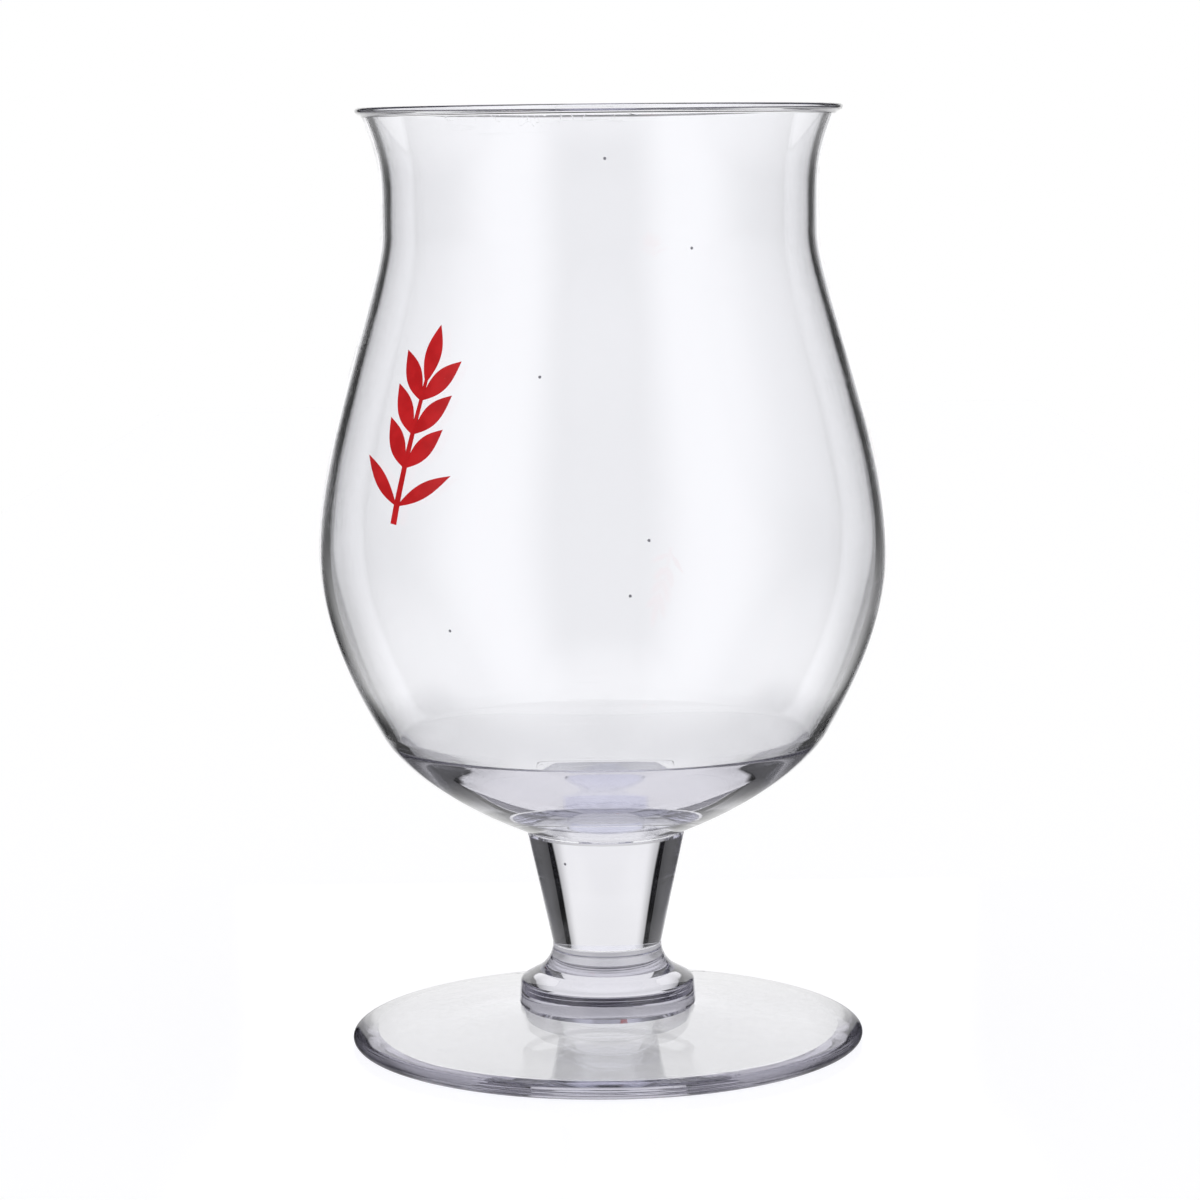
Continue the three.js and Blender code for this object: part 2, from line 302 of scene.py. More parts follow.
class StageSettings(bpy.types.PropertyGroup):
    """Camera, table, card and studio light. Directions of light are angles from the camera's direction."""

    distance: length("Distance", "Camera from the axis", 603.8)
    height: length("Height", "Camera above the floor", 150)
    pitch: degrees("Pitch", "Camera's dip below level", 7.14)
    roll: degrees("Roll", "Camera's turn about its own axis", -0.6)
    lens: number("Lens", "Focal length in millimetres", 109.5)
    shift: number("Shift", "Sideways shift of the frame", -0.003)
    clip: length("Clip", "Nearest that the camera sees", 10)
    table_half: length("Table half", "Half the width of the table", 250)
    table_near: length("Table near", "Table's front edge before the axis", 150)
    table_far: length("Table far", "Table's back edge behind the axis", 1500)
    table_drop: length("Table drop", "Gap between the glass and the table", 0.05)
    floor: colour("Floor", "Colour of the table", (0.88, 0.88, 0.89))
    floor_glow: share("Floor glow", "Light that keeps the table white", 0.3)
    floor_sheen: share("Floor sheen", "Share of light that the table mirrors", 0.05)
    floor_rough: share("Floor rough", "Least roughness of the table's sheen", 0.08)
    floor_haze: share("Floor haze", "Most roughness that haze adds to the sheen", 0.06)
    floor_bend: number("Floor bend", "Refractive index of the table's gloss, as the glass sees it", 1.5)
    floor_gloss: share("Floor gloss", "Roughness of the table's gloss, as the glass sees it", 0.04)
    ambient: share("Ambient", "Even light on matt surfaces", 0.85)
    card_half: length("Card half", "Half the width of the white card behind the glass", 98)
    card_back: length("Card back", "Distance of the white card behind the axis", 130)
    card_top: length("Card top", "Height of the white card", 240)
    card_light: number("Card light", "Brightness of the white card", 1.07)
    card_taper: length("Card taper", "How far each edge of the card comes in low down", 19)
    card_edge: share("Card edge", "Part of the half width where the card's edge starts to fade", 0.9)
    wing_shade: share("Wing shade", "How much darker the card is low down at its sides", 0.5)
    foot_shade: share("Foot shade", "How much darker the card is at its foot", 0.1)
    # Painted light of the table as the glass sees it: a glowing lit strip on a dim top.
    table_dim: colour("Table dim", "Table as the glass sees it", (0.06, 0.06, 0.06))
    table_strip: colour("Table strip", "Lit strip of the table, as the glass sees it", (1.0, 1.0, 1.0))
    strip_near: share("Strip near", "Share of the strip's light under the glass", 0.64)
    strip_gain: share("Strip gain", "Share that is added behind the glass", 0.28)
    middle_slant: number("Middle slant", "How far the table's front fade swings back, per step aside", 0.5)
    gap: degrees("Gap", "Where the dark gap before the camera ends", 14)
    gap_fade: degrees("Gap fade", "Where the front softboxes are at their full light", 42)
    softbox: degrees("Softbox", "Where the front softboxes start to fade", 52)
    softbox_fade: degrees("Softbox fade", "Where the front softboxes end", 98.8)
    softbox_light: share("Softbox light", "Brightness of the front softboxes", 0.7)
    side_light: share("Side light", "Brightness of the studio's sides", 0.084)
    ceiling_light: share("Ceiling light", "Brightness of the ceiling", 0.4)
    below_light: share("Below light", "Brightness of what lies below and aside", 0.8)
    steep_light: share("Steep light", "Brightness of what lies straight below", 0.75)
    dark: share("Dark", "Brightness of the dark studio", 0.04)


class Field:
    """Output of a node that takes part in arithmetic."""

    def __init__(self, graph, socket):
        self.graph = graph
        self.socket = socket

    def of(self, output):
        """Another output of the same node."""
        return Field(self.graph, self.socket.node.outputs[output])

    def maths(self, operation, first, second):
        """Output of a Math node."""
        return self.graph.node("ShaderNodeMath", {"operation": operation}, {0: first, 1: second})

    def __add__(self, other):
        return self.maths("ADD", self, other)

    __radd__ = __add__

    def __sub__(self, other):
        return self.maths("SUBTRACT", self, other)

    def __rsub__(self, other):
        return self.maths("SUBTRACT", other, self)

    def __mul__(self, other):
        return self.maths("MULTIPLY", self, other)

    __rmul__ = __mul__

    def __abs__(self):
        return self.maths("ABSOLUTE", self, 0)

    def most(self, other):
        """The larger of the two."""
        return self.maths("MAXIMUM", self, other)

    def ramp(self, start, end):
        """0 up to start, 1 from end, smooth between; falls where end is below start."""
        sockets = {
            "Value": self,
            "From Min": min(start, end),
            "From Max": max(start, end),
            "To Min": float(start > end),
            "To Max": float(start < end),
        }
        return self.graph.node("ShaderNodeMapRange", {"interpolation_type": "SMOOTHSTEP"}, sockets)


class Graph:
    """Node tree that is written as expressions."""

    def __init__(self, tree):
        self.tree = tree
        tree.nodes.clear()

    def node(self, kind, settings=None, sockets=None, output=0):
        """New node: its settings first, then its sockets' values or links; returns one output, if any."""
        made = self.tree.nodes.new(kind)
        for name, value in (settings or {}).items():
            setattr(made, name, value)
        for name, value in (sockets or {}).items():
            if isinstance(value, Field):
                self.tree.links.new(value.socket, made.inputs[name])
            else:
                made.inputs[name].default_value = value
        return Field(self, made.outputs[output]) if len(made.outputs) else None

    def place(self, stretch=(1, 1, 1)):
        """Position on the object in millimetres, stretched along the axes."""
        scale = [axis / MM for axis in stretch]
        where = self.node("ShaderNodeTexCoord", output="Object")
        return self.node("ShaderNodeVectorMath", {"operation": "MULTIPLY"}, {0: where, 1: scale})

    def noise(self, place, scale, detail=2.0):
        """Noise from 0 to 1."""
        return self.node("ShaderNodeTexNoise", None, {"Vector": place, "Scale": scale, "Detail": detail})

    def blend(self, factor, first, second):
        """Mix of two colours."""
        sockets = {0: factor, 6: first, 7: second}
        return self.node("ShaderNodeMix", {"data_type": "RGBA"}, sockets, output=2)

    def bump(self, height, strength, relief, **more):
        """Normal of a relief."""
        sockets = {"Height": height, "Strength": strength, "Distance": relief, **more}
        return self.node("ShaderNodeBump", None, sockets)

    def shaders(self, factor, first, second):
        """Mix of two shaders."""
        return self.node("ShaderNodeMixShader", None, {0: factor, 1: first, 2: second})

    def surface(self, shader, **more):
        """End of a material."""
        self.node("ShaderNodeOutputMaterial", None, {"Surface": shader, **more})


def opaque(rgb):
    """Colour with its alpha."""
    return (*rgb, 1.0)


def finish(name):
    """New material and its graph."""
    material = bpy.data.materials.new(name)
    material.use_nodes = True
    return material, Graph(material.node_tree)


def light_through(graph, solid, tint):
    """Lets the studio's light reach what stands behind or under a clear piece."""
    path = graph.node("ShaderNodeLightPath", output="Is Shadow Ray")
    clear = graph.node("ShaderNodeBsdfTransparent", None, {"Color": opaque(tint)})
    return graph.shaders(path.most(path.of("Is Diffuse Ray")), solid, clear)


def hairlines(graph, stretch, scale):
    """Thin lines where stretched noise crosses its middle, kept to worn patches."""
    lines = abs(graph.noise(graph.place(stretch), scale, detail=1.0) - 0.5).ramp(*HAIRLINE)
    patches = graph.noise(graph.place(), scale=0.07).ramp(*WORN_PATCH)
    return lines * patches


def dust(graph, scale, kept):
    """Small specks, in the share of cells that is kept."""
    cells = graph.node("ShaderNodeTexVoronoi", None, {"Vector": graph.place(), "Scale": scale}, "Distance")
    draw = graph.node("ShaderNodeSeparateColor", None, {"Color": cells.of("Color")})
    return cells.ramp(*DUST_GRAIN) * draw.ramp(1 - kept, 1 - kept + SHARP_STEP)


def radius_at(wall, height):
    """Radius of a wall at a height, from points that rise along it."""
    above = next(k for k in range(1, len(wall)) if wall[k][1] >= height)
    (r0, z0), (r1, z1) = wall[above - 1], wall[above]
    return r0 + (r1 - r0) * (height - z0) / (z1 - z0)


def specks_on(graph, wall, specks):
    """Specks on a wall, at their turns and heights."""
    marks = []
    for turn, height in specks:
        radius = radius_at(wall, height * MM) / MM
        around = math.radians(turn)
        sockets = {0: graph.place(), 1: (radius * math.sin(around), -radius * math.cos(around), height)}
        gap = graph.node("ShaderNodeVectorMath", {"operation": "DISTANCE"}, sockets, "Value")
        marks.append(gap.ramp(*SPECK_EDGE))
    return functools.reduce(Field.most, marks)


def clear_plastic(finishes, name, ripple_stretch, density, wall=(), specks=()):
    """Polished clear plastic with smears, hairlines, moulding ripples, and specks or scattered dust."""
    material, graph = finish(name)
    smear = graph.noise(graph.place(stretch=(1, 1, 0.6)), scale=0.06, detail=3.0).ramp(*SMEAR_PATCH)
    fine = graph.noise(graph.place(stretch=(1, 1, 3)), scale=0.9).ramp(*SMEAR_FINE)
    rising = hairlines(graph, stretch=(0.5, 0.5, 0.04), scale=0.8)
    level = hairlines(graph, stretch=(0.05, 0.05, 0.7), scale=0.7)
    marks = specks_on(graph, wall, specks) if specks else dust(graph, scale=0.11, kept=0.06)
    ripples = graph.noise(graph.place(ripple_stretch), scale=0.12, detail=1.0)
    worn = graph.bump(rising.most(level), finishes.scratch, SCRATCH_RELIEF)
    plastic = graph.node("ShaderNodeBsdfPrincipled", None, {
        "Base Color": graph.blend(marks, opaque(finishes.tint), opaque(finishes.speck)),
        "Roughness": smear * fine * finishes.smear + marks * finishes.speck_rough,
        "IOR": finishes.bend,
        "Transmission Weight": 1.0,
        "Normal": graph.bump(ripples, finishes.ripple, RIPPLE_RELIEF, Normal=worn),
    })
    joined = graph.node("ShaderNodeAttribute", {"attribute_name": WETTED}, output="Fac")
    wetted = graph.node("ShaderNodeBsdfTransparent", None, {"Color": opaque(finishes.tint)})
    shell = graph.shaders(joined, light_through(graph, plastic, finishes.tint), wetted)
    sockets = {"Color": opaque(finishes.depth), "Density": density}
    graph.surface(shell, Volume=graph.node("ShaderNodeVolumeAbsorption", None, sockets))
    return material


def adhesive(finishes):
    """Cured clear film with faint flow marks."""
    material, graph = finish("cured_adhesive")
    flow = graph.noise(graph.place(), scale=0.8, detail=3.0)
    film = graph.node("ShaderNodeBsdfPrincipled", None, {
        "Base Color": graph.blend(flow.ramp(*FLOW_MARK), opaque(finishes.tint), opaque(finishes.flow)),
        "Roughness": flow.ramp(*FLOW_DULL) * finishes.flow_rough,
        "IOR": finishes.film_bend,
        "Transmission Weight": 1.0,
        "Normal": graph.bump(flow, strength=0.1, relief=FLOW_RELIEF),
    })
    graph.surface(light_through(graph, film, finishes.tint))
    return material


def red_ink(finishes):
    """Satin screen-printed ink: uneven density, pinholes and fine grain."""
    material, graph = finish("red_ink")
    density = graph.noise(graph.place(), scale=0.35, detail=4.0)
    grain = graph.noise(graph.place(), scale=6.0)
    pinholes = dust(graph, scale=0.9, kept=0.12)
    dark = [finishes.uneven * part for part in finishes.red]
    red = graph.blend(density.ramp(*INK_FULL), opaque(dark), opaque(finishes.red))
    ink = graph.node("ShaderNodeBsdfPrincipled", None, {
        "Base Color": graph.blend(pinholes, red, opaque(finishes.pinhole)),
        "Roughness": finishes.ink_rough + density * finishes.ink_vary,
        "Coat Weight": finishes.coat * density.ramp(*INK_GLOSS),
        "Normal": graph.bump(grain, strength=0.15, relief=GRAIN_RELIEF),
    })
    graph.surface(ink)
    return material


def point_at(start, heading, distance):
    """Point that lies a distance from another along a heading."""
    return start[0] + distance * math.cos(heading), start[1] + distance * math.sin(heading)


class Sweep:
    """Curve that leaves one station along its heading and arrives at the next along that one's heading."""

    def __init__(self, start, heading, end, end_heading, reach):
        """The reach of the two handles says how long the curve keeps to each heading."""
        self.points = start, point_at(start, heading, reach[0]), point_at(end, end_heading, -reach[1]), end

    def mixed(self, weights):
        """Sum of the four points by weight."""
        return Vector([sum(w * at[axis] for w, at in zip(weights, self.points)) for axis in (0, 1)])

    def course(self, steps=CURVE_STEPS, offset=0.0):
        """Points along the curve, set off to its right by a distance, each with the normal to its right."""
        found = []
        for step in range(steps + 1):
            t = step / steps
            s = 1 - t
            at = self.mixed((s * s * s, 3 * s * s * t, 3 * s * t * t, t * t * t))
            along = self.mixed((-s * s, s * s - 2 * s * t, 2 * s * t - t * t, t * t)).normalized()
            right = Vector((along.y, -along.x))
            found.append((at + offset * right, right))
        return found


def corner(centre, width, height, start, end):
    """Course of a quarter round about a centre, from one heading to the other."""
    found = []
    for step in range(CORNER_STEPS + 1):
        turned = start + (end - start) * step / CORNER_STEPS
        out = Vector((math.cos(turned), math.sin(turned)))
        at = Vector((centre[0] + width * out.x, centre[1] + height * out.y))
        found.append((at, Vector((out.x / width, out.y / height)).normalized()))
    return found


def backwards(course):
    """The same course run the other way, with the normals on its new right."""
    return [(at, -right) for at, right in reversed(course)]


class Profile:
    """Half section of a turned piece, drawn from the axis and back to it with the solid on the left."""

    def __init__(self, *start):
        self.edges = []
        self.at = Vector(start)

    def edge(self, first_normal, end, end_normal, wetted):
        """Edge to the end, with its normals, unless the end is here already."""
        if (end - self.at).length > ONE_POINT:
            self.edges.append((self.at, first_normal, end, end_normal, wetted))
            self.at = end

    def line(self, *points, wetted=False):
        """Straight edges to the points."""
        for end in map(Vector, points):
            along = (end - self.at).normalized()
            right = Vector((along.y, -along.x))
            self.edge(right, end, right, wetted)

    def curve(self, course):
        """A straight edge to the course if there is a gap, then its own edges."""
        self.line(course[0][0])
        for (_, first_normal), (end, end_normal) in zip(course, course[1:]):
            self.edge(first_normal, end, end_normal, False)

    def turn(self, name):
        """Closed mesh turned about Z, with exact normals and a mark on the wetted faces."""
        verts, faces, normals, wet = [], [], [], []
        steps = [2 * math.pi * k / SEGMENTS for k in range(SEGMENTS)]
        turns = [Vector((math.cos(step), math.sin(step))) for step in steps]

        def ring(at):
            """Vertices round the axis, or the one on it; the first is listed again after the last."""
            count = SEGMENTS if at.x > ONE_POINT else 1
            made = [len(verts) + k % count for k in range(SEGMENTS + 1)]
            verts.extend((at.x * around.x, at.x * around.y, at.y) for around in turns[:count])
            return made

        low = ring(self.edges[0][0])
        for _, first_normal, end, end_normal, wetted in self.edges:
            high = ring(end)
            for k in range(SEGMENTS):
                corners = {
                    low[k]: (k, first_normal),
                    low[k + 1]: (k + 1, first_normal),
                    high[k + 1]: (k + 1, end_normal),
                    high[k]: (k, end_normal),
                }
                faces.append(tuple(corners))
                for step, right in corners.values():
                    around = turns[step % SEGMENTS]
                    normals.append((right.x * around.x, right.x * around.y, right.y))
                wet.append(float(wetted))
            low = high
        mesh = bpy.data.meshes.new(name)
        mesh.from_pydata(verts, [], faces)
        mesh.attributes.new(WETTED, "FLOAT", "FACE").data.foreach_set("value", wet)
        mesh.polygons.foreach_set("use_smooth", [True] * len(faces))
        mesh.normals_split_custom_set(normals)
        return mesh


def add_piece(name, mesh, material, node):
    """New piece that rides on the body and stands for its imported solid."""
    mesh.materials.append(material)
    piece = bpy.data.objects.new(name, mesh)
    bpy.context.scene.collection.objects.link(piece)
    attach(piece, BODY)
    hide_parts(node)


def wall_sweeps(bowl):
    """Outer wall from the knee to the mouth."""
    knee = bowl.knee_radius, BOWL_Z + bowl.knee_height
    belly = BELLY_R, BOWL_Z + bowl.belly_height
    neck = bowl.neck_radius, BOWL_Z + bowl.neck_height
    mouth = bowl.mouth_radius, BOWL_Z + bowl.mouth_height
    return [
        Sweep(knee, bowl.knee_slope, belly, UP, bowl.knee_curve),
        Sweep(belly, UP, neck, UP, bowl.belly_curve),
        Sweep(neck, UP, mouth, bowl.mouth_slope, bowl.neck_curve),
    ]


def wall_course(bowl, offset):
    """Course of the wall, set off to its outside by a distance."""
    return [step for sweep in wall_sweeps(bowl) for step in sweep.course(offset=offset)]


class BuildFoot(bpy.types.Operator):
    """Conical foot, hollow underneath, with its collar"""

    bl_idname = "beer_glass.build_foot"
    bl_label = "Build foot"

    def execute(self, context):
        foot, finishes = context.scene.beer_glass_foot, context.scene.beer_glass_finishes
        edge = FOOT_R, foot.edge_height
        top = foot.top_radius, foot.top_height
        cone = foot.collar_foot, foot.cone_height
        slope = math.atan2(cone[1] - top[1], cone[0] - top[0])
        collar = foot.collar_top, foot.collar_height
        shoulder = foot.shoulder_radius, foot.shoulder_height
        inward = IN - foot.shoulder_slope
        waist = foot.waist_radius, WAIST_Z
        under = (foot.rest_radius, foot.edge_height), FOOT_R - foot.rest_radius, foot.edge_height
        section = Profile(0, foot.hollow_height)
        section.line((foot.hollow_flat, foot.hollow_height), (foot.hollow_radius, 0))
        section.curve(corner(*under, -UP, OUT))
        section.curve(Sweep(edge, UP, top, slope, foot.edge_curve).course())
        section.line(cone)
        section.curve(Sweep(collar, UP, shoulder, inward, foot.collar_curve).course())
        section.curve(Sweep(shoulder, inward, waist, UP, foot.waist_curve).course())
        section.line((FOOT_BOND_R, WAIST_Z))
        section.line((0, WAIST_Z), wetted=True)
        plastic = clear_plastic(finishes, "clear_plastic_foot", FOOT_RIPPLE, finishes.foot_density)
        add_piece("clear_foot", section.turn("foot"), plastic, "foot")
        return {"FINISHED"}


class BuildStem(bpy.types.Operator):
    """Solid tapered stem with its spigot"""

    bl_idname = "beer_glass.build_stem"
    bl_label = "Build stem"

    def execute(self, context):
        scene = context.scene
        stem, finishes = scene.beer_glass_stem, scene.beer_glass_finishes
        wall = (scene.beer_glass_foot.waist_radius, STEM_Z), (STEM_TOP_R, STEM_TOP_Z - stem.corner)
        spigot = stem.spigot_radius
        section = Profile(0, STEM_Z)
        section.line((FOOT_BOND_R, STEM_Z), wetted=True)
        section.line(*wall, (STEM_TOP_R - stem.corner, STEM_TOP_Z), (BOWL_BOND_R, STEM_TOP_Z))
        section.line((spigot, STEM_TOP_Z), (spigot, SPIGOT_TOP_Z), (0, SPIGOT_TOP_Z), wetted=True)
        density = finishes.stem_density
        plastic = clear_plastic(finishes, "clear_plastic_stem", STEM_RIPPLE, density, wall, STEM_SPECKS)
        add_piece("clear_stem", section.turn("stem"), plastic, "stem")
        return {"FINISHED"}


class BuildBowl(bpy.types.Operator):
    """Tulip bowl with its flared lip, thick dished floor and blind socket"""

    bl_idname = "beer_glass.build_bowl"
    bl_label = "Build bowl"

    def execute(self, context):
        scene = context.scene
        bowl, stem, finishes = scene.beer_glass_bowl, scene.beer_glass_stem, scene.beer_glass_finishes
        socket = stem.spigot_radius + stem.film
        base = bowl.base_radius, BOWL_Z
        knee = bowl.knee_radius, BOWL_Z + bowl.knee_height
        mouth = bowl.mouth_radius, BOWL_Z + bowl.mouth_height
        lip = bowl.lip_radius, RIM_Z - bowl.lip_round
        outside = wall_course(bowl, 0)
        inside = backwards(wall_course(bowl, -bowl.wall))
        mouth_inside, knee_inside = inside[0][0], inside[-1][0]
        heel = bowl.heel_radius, BOWL_Z + bowl.heel_height
        down, heel_down = bowl.knee_slope - IN, bowl.heel_slope - IN
        disc = bowl.disc_radius, BOWL_Z + bowl.floor
        pit = disc[1] - bowl.disc_depth
        outer_round = (lip[0] - bowl.lip_round, lip[1]), bowl.lip_round, bowl.lip_round
        inner_round = (mouth_inside.x + bowl.lip_round, lip[1]), bowl.lip_round, bowl.lip_round
        section = Profile(0, SOCKET_TOP_Z)
        section.line((socket, SOCKET_TOP_Z), (socket, BOWL_Z), (BOWL_BOND_R, BOWL_Z), wetted=True)
        section.line(base)
        section.curve(Sweep(base, bowl.base_slope, knee, bowl.knee_slope, bowl.base_curve).course())
        section.curve(outside)
        section.curve(Sweep(mouth, bowl.mouth_slope, lip, UP, bowl.mouth_curve).course(CORNER_STEPS))
        section.curve(corner(*outer_round, OUT, UP))
        section.curve(corner(*inner_round, UP, IN))
        section.curve(inside)
        section.curve(Sweep(knee_inside, down, heel, heel_down, bowl.heel_curve).course(CORNER_STEPS))
        section.curve(Sweep(heel, heel_down, disc, IN, bowl.dish_curve).course())
        section.line((disc[0], pit), (0, pit))
        wall = [at for at, _ in outside]
        density = finishes.bowl_density
        plastic = clear_plastic(finishes, "clear_plastic_bowl", BOWL_RIPPLE, density, wall, BOWL_SPECKS)
        add_piece("clear_bowl", section.turn("bowl"), plastic, "bowl")
        return {"FINISHED"}


class BuildBonds(bpy.types.Operator):
    """Adhesive films between foot and stem and between stem and bowl"""

    bl_idname = "beer_glass.build_bonds"
    bl_label = "Build bonds"

    def execute(self, context):
        stem, finishes = context.scene.beer_glass_stem, context.scene.beer_glass_finishes
        film = adhesive(finishes)
        low, high = STEM_TOP_Z + FILM_CLEAR, BOWL_Z - FILM_CLEAR
        inner = stem.spigot_radius + FILM_CLEAR
        outer = stem.spigot_radius + stem.film - FILM_CLEAR
        cap, roof = SPIGOT_TOP_Z + FILM_CLEAR, SOCKET_TOP_Z - FILM_CLEAR
        cup = Profile(0, cap)
        cup.line((inner, cap), (inner, low), (BOWL_BOND_R, low))
        cup.line((BOWL_BOND_R, high), (outer, high), (outer, roof), (0, roof))
        add_piece("bowl_film", cup.turn("bowl_film"), film, "bowl_bond")
        under, over = WAIST_Z + FILM_CLEAR, STEM_Z - FILM_CLEAR
        disc = Profile(0, under)
        disc.line((FOOT_BOND_R, under), (FOOT_BOND_R, over), (0, over))
        add_piece("foot_film", disc.turn("foot_film"), film, "foot_bond")
        return {"FINISHED"}


def blade(reach, width, lean, rise):
    """Outline of a pointed oval that leans from the stalk."""
    steps = [k / BLADE_STEPS for k in range(BLADE_STEPS + 1)]
    right = [(width / 2 * math.sin(math.pi * step), reach * step) for step in steps]
    left = [(-x, y) for x, y in right[-2:0:-1]]
    turned = Matrix.Rotation(lean, 2)
    return [turned @ Vector(at) + Vector((0, rise)) for at in right + left]


def ear_outlines(ear):
    """Outlines of the stalk, the grains and the leaves, drawn flat about the ear's centre."""
    foot = -ear.stalk_drop
    first = foot + ear.grain_rise
    tip = first + (ear.grain_pairs - 0.5) * ear.grain_pitch
    half, point = ear.stalk_width / 2, ear.stalk_tip / 2
    top = tip + ear.stalk_lap
    outlines = [[Vector(at) for at in ((-half, foot), (half, foot), (point, top), (-point, top))]]
    outlines.append(blade(ear.grain_length, ear.grain_width, 0, tip))
    for side in (-1, 1):
        outlines.append(blade(ear.leaf_length, ear.leaf_width, side * ear.leaf_angle, foot + ear.leaf_rise))
        for pair in range(ear.grain_pairs):
            rise = first + pair * ear.grain_pitch
            outlines.append(blade(ear.grain_length, ear.grain_width, side * ear.grain_angle, rise))
    lean = Matrix.Rotation(-ear.tilt, 2)
    return [[lean @ at for at in outline] for outline in outlines]


def flat_ear(ear):
    """Triangles of the joined outlines, fine enough to follow the wall."""
    verts, faces = [], []
    for outline in ear_outlines(ear):
        faces.append(list(range(len(verts), len(verts) + len(outline))))
        verts += outline
    reach = max(max(abs(at.x), abs(at.y)) for at in verts)
    count = math.ceil(reach / EAR_PITCH)
    marks = [EAR_PITCH * k for k in range(-count, count + 1)]
    verts += [Vector((x, y)) for x in marks for y in marks]
    inside_only = 1
    found = delaunay_2d_cdt(verts, [], faces, inside_only, EAR_JOIN)
    return found[0], found[2]


class BuildPrint(bpy.types.Operator):
    """Red barley ear printed on the bowl's wall"""

    bl_idname = "beer_glass.build_print"
    bl_label = "Build print"

    def execute(self, context):
        scene = context.scene
        ear, bowl = scene.beer_glass_print, scene.beer_glass_bowl
        points, triangles = flat_ear(ear)
        around = Matrix.Rotation(ear.angle, 3, "Z")
        verts = []
        for offset in (ear.gap, ear.gap + ear.ink):
            wall = [at for at, _ in wall_course(bowl, offset)]
            for at in points:
                z = BOWL_Z + ear.height + at.y
                r = radius_at(wall, z)
                verts.append(around @ Vector((at.x, -math.sqrt(r * r - at.x * at.x), z)))
        back = len(points)
        outer = [tuple(k + back for k in triangle) for triangle in triangles]
        inner = [tuple(reversed(triangle)) for triangle in triangles]
        edges = {(a, b) for t in triangles for a, b in zip(t, t[1:] + t[:1])}
        sides = [(a, b, b + back, a + back) for a, b in sorted(edges) if (b, a) not in edges]
        mesh = bpy.data.meshes.new("barley_ear")
        mesh.from_pydata(verts, [], outer + inner + sides)
        mesh.polygons.foreach_set("use_smooth", [True] * len(mesh.polygons))
        mesh.set_sharp_from_angle(angle=SHARP_ANGLE)
        add_piece("barley_ear", mesh, red_ink(scene.beer_glass_finishes), "bowl_print")
        return {"FINISHED"}


def studio_world(stage):
    """White to the camera and even on matt surfaces; glass sees softboxes, a ceiling and a pale floor."""
    world = bpy.data.worlds.new("studio")
    world.use_nodes = True
    graph = Graph(world.node_tree)
    where = graph.node("ShaderNodeTexCoord", output="Generated")
    level = graph.node("ShaderNodeVectorMath", {"operation": "MULTIPLY"}, {0: where, 1: (1, 1, 0)})
    level = graph.node("ShaderNodeVectorMath", {"operation": "NORMALIZE"}, {0: level})
    front = 0 - graph.node("ShaderNodeSeparateXYZ", None, {0: level}, "Y")
    rise = graph.node("ShaderNodeSeparateXYZ", None, {0: where}, "Z")
    aside = front.maths("ARCCOSINE", front, 0)
    softboxes = stage.softbox_light * aside.ramp(stage.softbox_fade, stage.softbox)
    sides = stage.side_light * aside.ramp(*SIDES_ARC)
    around = softboxes.most(sides) * aside.ramp(stage.gap, stage.gap_fade)
    ceiling = stage.ceiling_light * rise.ramp(*CEILING_RISE)
    below = stage.below_light * rise.ramp(*BELOW_RISE) * aside.ramp(*BELOW_ARC)
    steep = stage.steep_light * rise.ramp(*STEEP_RISE)
    glow = stage.dark + around.most(ceiling).most(below.most(steep) * aside.ramp(*BACK_ARC))
    path = graph.node("ShaderNodeLightPath", output="Is Glossy Ray")
    clear = path.most(path.of("Is Transmission Ray"))
    plain = path.of("Is Camera Ray").most(stage.ambient)
    light = graph.node("ShaderNodeBackground", None, {"Color": plain + (glow - plain) * clear})
    graph.node("ShaderNodeOutputWorld", None, {"Surface": light})
    return world


def white_table(stage):
    """Pale table with a weak sheen; glass sees a lit strip on a dim top with faded front and sides."""
    material, graph = finish("white_table")
    haze = graph.noise(graph.place(), scale=0.02, detail=3.0)
    matt = graph.node("ShaderNodeBsdfDiffuse", None, {"Color": opaque(stage.floor)})
    lit = graph.node("ShaderNodeEmission", None, {"Color": WHITE, "Strength": stage.floor_glow})
    top = graph.node("ShaderNodeAddShader", None, {0: matt, 1: lit})
    rough = stage.floor_rough + haze * stage.floor_haze
    sheen = graph.node("ShaderNodeBsdfGlossy", None, {"Color": WHITE, "Roughness": rough})
    polished = graph.shaders(stage.floor_sheen, top, sheen)
    sideways = graph.node("ShaderNodeSeparateXYZ", None, {0: graph.place()}, "X")
    aside, back = abs(sideways), sideways.of("Y")
    # Painted light: to the glass the table glows as a lit strip on a dim top, instead of being lit by
    # lamps.
    share_lit = stage.strip_near + stage.strip_gain * back.ramp(*STRIP_BACK)
    strip = aside.ramp(*STRIP_ASIDE) * back.ramp(*STRIP_FRONT) * share_lit
    seen = graph.blend(strip, opaque(stage.table_dim), opaque(stage.table_strip))
    body = graph.node("ShaderNodeEmission", None, {"Color": seen, "Strength": 1.0})
    mirror = graph.node("ShaderNodeBsdfGlossy", None, {"Color": WHITE, "Roughness": stage.floor_gloss})
    glossy = graph.shaders(graph.node("ShaderNodeFresnel", None, {"IOR": stage.floor_bend}), body, mirror)
    middle = aside.ramp(*MIDDLE_ASIDE) * (back - stage.middle_slant * aside).ramp(*MIDDLE_FRONT)
    faded = graph.shaders(middle, graph.node("ShaderNodeBsdfTransparent"), glossy)
    path = graph.node("ShaderNodeLightPath", output="Is Glossy Ray")
    graph.surface(graph.shaders(path.most(path.of("Is Transmission Ray")), polished, faded))
    return material


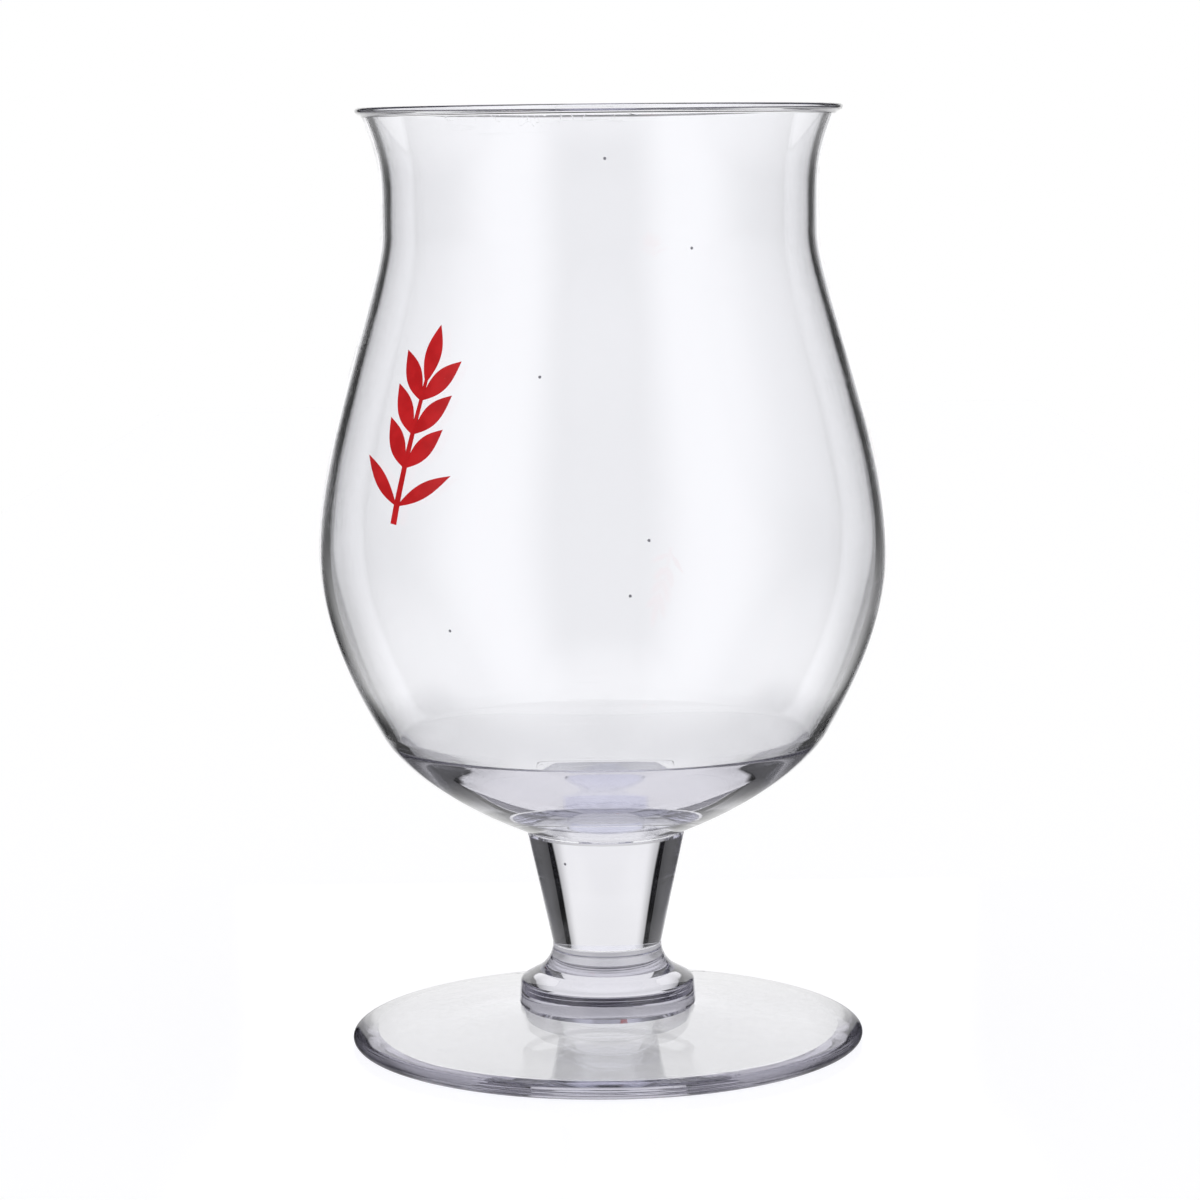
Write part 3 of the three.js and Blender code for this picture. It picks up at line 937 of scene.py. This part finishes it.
def white_card(stage):
    """Lit card that fades at its sides, and is narrower and darker low down."""
    material, graph = finish("white_card")
    sideways = graph.node("ShaderNodeSeparateXYZ", None, {0: graph.place()}, "X")
    aside, height = abs(sideways), sideways.of("Z")
    edge = stage.card_half / MM
    low = height.ramp(*CARD_LOW)
    sides = (aside + stage.card_taper / MM * low).ramp(stage.card_edge * edge, edge)
    wings = stage.wing_shade * low * aside.ramp(*CARD_WINGS)
    shade = sides.most(wings) + stage.foot_shade * height.ramp(*CARD_FOOT)
    lit = graph.blend(shade, WHITE, BLACK)
    graph.surface(graph.node("ShaderNodeEmission", None, {"Color": lit, "Strength": stage.card_light}))
    return material


def add_sheet(name, corners, material):
    """Flat sheet of the stage."""
    mesh = bpy.data.meshes.new(name)
    mesh.from_pydata(corners, [], [(0, 1, 2, 3)])
    mesh.materials.append(material)
    sheet = bpy.data.objects.new(name, mesh)
    bpy.context.scene.collection.objects.link(sheet)
    return sheet


class BuildStage(bpy.types.Operator):
    """White table, lit card, studio light and the camera"""

    bl_idname = "beer_glass.build_stage"
    bl_label = "Build stage"

    def execute(self, context):
        scene = context.scene
        stage = scene.beer_glass_stage
        half, near, far, level = stage.table_half, -stage.table_near, stage.table_far, -stage.table_drop
        corners = [(-half, near, level), (half, near, level), (half, far, level), (-half, far, level)]
        add_sheet("table", corners, white_table(stage))
        side, back, top = stage.card_half, stage.card_back, stage.card_top
        corners = [(-side, back, 0), (side, back, 0), (side, back, top), (-side, back, top)]
        card = add_sheet("card", corners, white_card(stage))
        card.visible_camera = card.visible_diffuse = card.visible_shadow = False
        scene.world = studio_world(stage)
        lens = bpy.data.cameras.new("camera")
        lens.sensor_width = SENSOR
        lens.lens = stage.lens
        lens.shift_x = stage.shift
        lens.clip_start = stage.clip
        camera = bpy.data.objects.new("camera", lens)
        camera.location = 0, -stage.distance, stage.height
        dip = Euler((math.pi / 2 - stage.pitch, 0, 0)).to_matrix()
        camera.rotation_euler = (dip @ Matrix.Rotation(stage.roll, 3, "Z")).to_euler()
        scene.collection.objects.link(camera)
        scene.camera = camera
        scene.view_settings.view_transform = "Standard"
        scene.cycles.max_bounces = BOUNCES
        scene.cycles.transmission_bounces = BOUNCES
        scene.cycles.glossy_bounces = BOUNCES
        scene.cycles.transparent_max_bounces = CLEAR_LAYERS
        return {"FINISHED"}


class BeerGlassPanel(bpy.types.Panel):
    """Lists the pieces of the glass"""

    bl_idname = "VIEW3D_PT_beer_glass"
    bl_label = "Beer glass"
    bl_space_type = "VIEW_3D"
    bl_region_type = "UI"
    bl_category = "Beer glass"

    def draw(self, context):
        for build in BUILDS:
            self.layout.operator(build.bl_idname)


GROUPS = {
    "beer_glass_foot": FootSizes,
    "beer_glass_stem": StemSizes,
    "beer_glass_bowl": BowlSizes,
    "beer_glass_print": PrintSizes,
    "beer_glass_finishes": Finishes,
    "beer_glass_stage": StageSettings,
}
BUILDS = BuildStage, BuildFoot, BuildStem, BuildBowl, BuildBonds, BuildPrint


def register():
    for group in (*GROUPS.values(), *BUILDS, BeerGlassPanel):
        bpy.utils.register_class(group)
    for name, group in GROUPS.items():
        setattr(bpy.types.Scene, name, PointerProperty(type=group))


def unregister():
    for name in GROUPS:
        delattr(bpy.types.Scene, name)
    for group in (BeerGlassPanel, *BUILDS, *GROUPS.values()):
        bpy.utils.unregister_class(group)


def main():
    register()
    bpy.ops.beer_glass.build_stage()
    bpy.ops.beer_glass.build_foot()
    bpy.ops.beer_glass.build_stem()
    bpy.ops.beer_glass.build_bowl()
    bpy.ops.beer_glass.build_bonds()
    bpy.ops.beer_glass.build_print()


if __name__ == "__main__":
    main()
